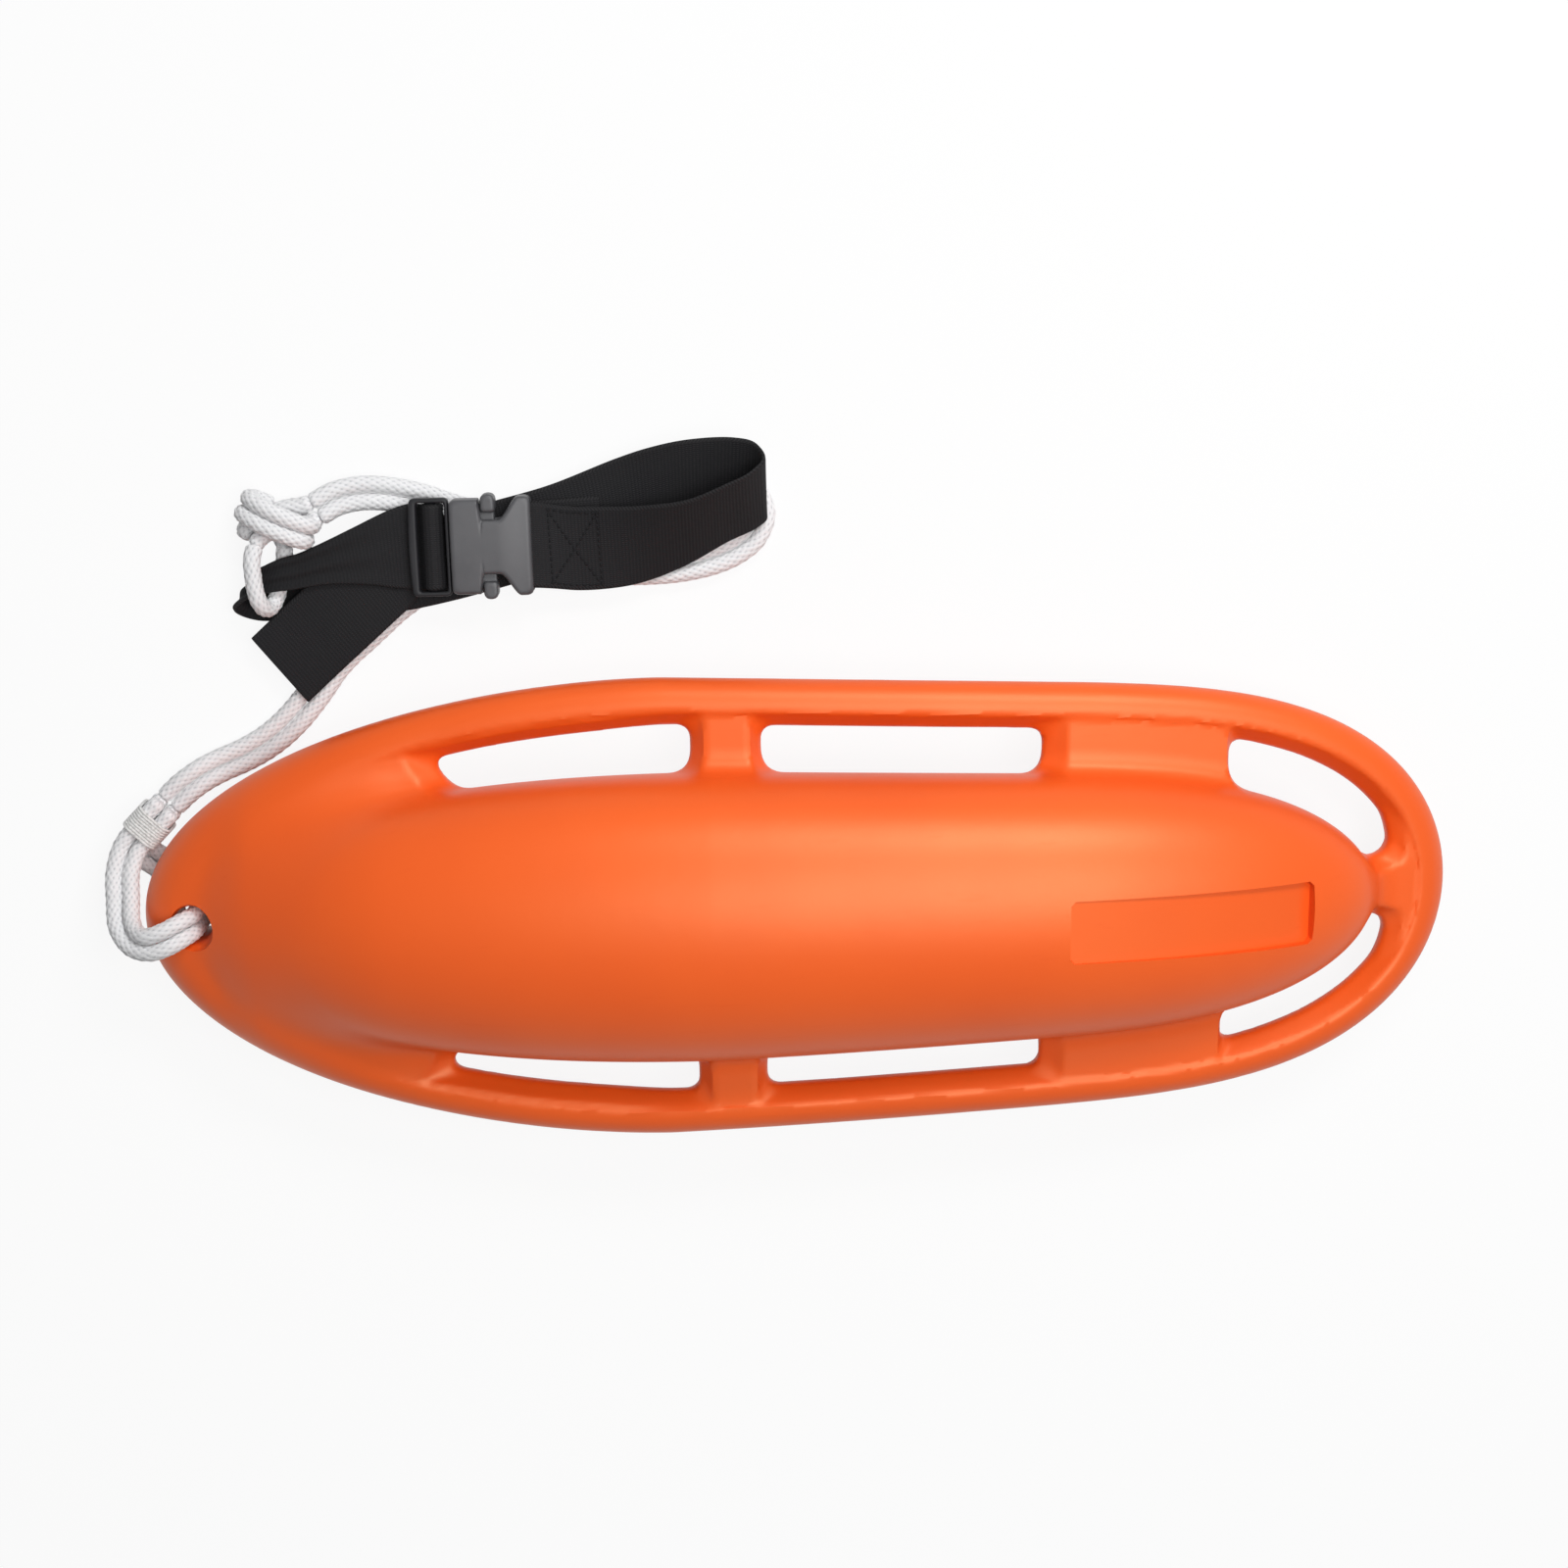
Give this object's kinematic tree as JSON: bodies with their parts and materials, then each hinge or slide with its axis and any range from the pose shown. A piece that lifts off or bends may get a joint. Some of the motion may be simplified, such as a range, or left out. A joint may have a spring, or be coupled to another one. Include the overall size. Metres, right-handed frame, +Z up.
{
  "type": "rescue can buoy",
  "caption": "Hollow moulded rescue can with grip slots, a doubled tow rope through its nose and a webbing belt with a side-release buckle",
  "frame": {"origin": "On the floor at the middle of the flat land on which the can rests, half way along the can", "axes": "+X runs along the can from the nose to the tail handle, +Y points to the side where the belt lies, +Z points up"},
  "size_m": [0.7412, 0.3835, 0.1196],
  "materials": {
    "can_shell": "moulded orange polyethylene, fine satin grain",
    "vent_plug": "moulded orange polyethylene",
    "rope": "white braided polyester rope",
    "seizing": "white whipping twine",
    "webbing": "black woven webbing",
    "buckle": "dark grey moulded acetal, slight sheen"
  },
  "bodies": {
    "can_body": {"can_shell": "can_shell", "vent_plug": "vent_plug", "rope_nose_eye_outer": "rope", "rope_nose_eye_inner": "rope", "rope_leg_left": "rope", "rope_leg_right": "rope", "rope_belt_eye": "rope", "rope_knot": "rope", "rope_seizing": "seizing", "belt_strap": "webbing", "buckle_housing": "buckle", "buckle_plug": "buckle"},
    "arm_upper": {"release_arm_upper": "buckle"},
    "arm_lower": {"release_arm_lower": "buckle"}
  },
  "joints": [
    {"name": "release_upper", "type": "hinge", "parent": "can_body", "child": "arm_upper", "pos_m": [-0.1815, 0.207, 0.0202], "axis": [0, 0, -1], "range_deg": [0, 10], "stiffness_Nm_per_rad": 0.4},
    {"name": "release_lower", "type": "hinge", "parent": "can_body", "child": "arm_lower", "pos_m": [-0.1815, 0.189, 0.0202], "axis": [0, 0, 1], "range_deg": [0, 10], "stiffness_Nm_per_rad": 0.4}
  ]
}
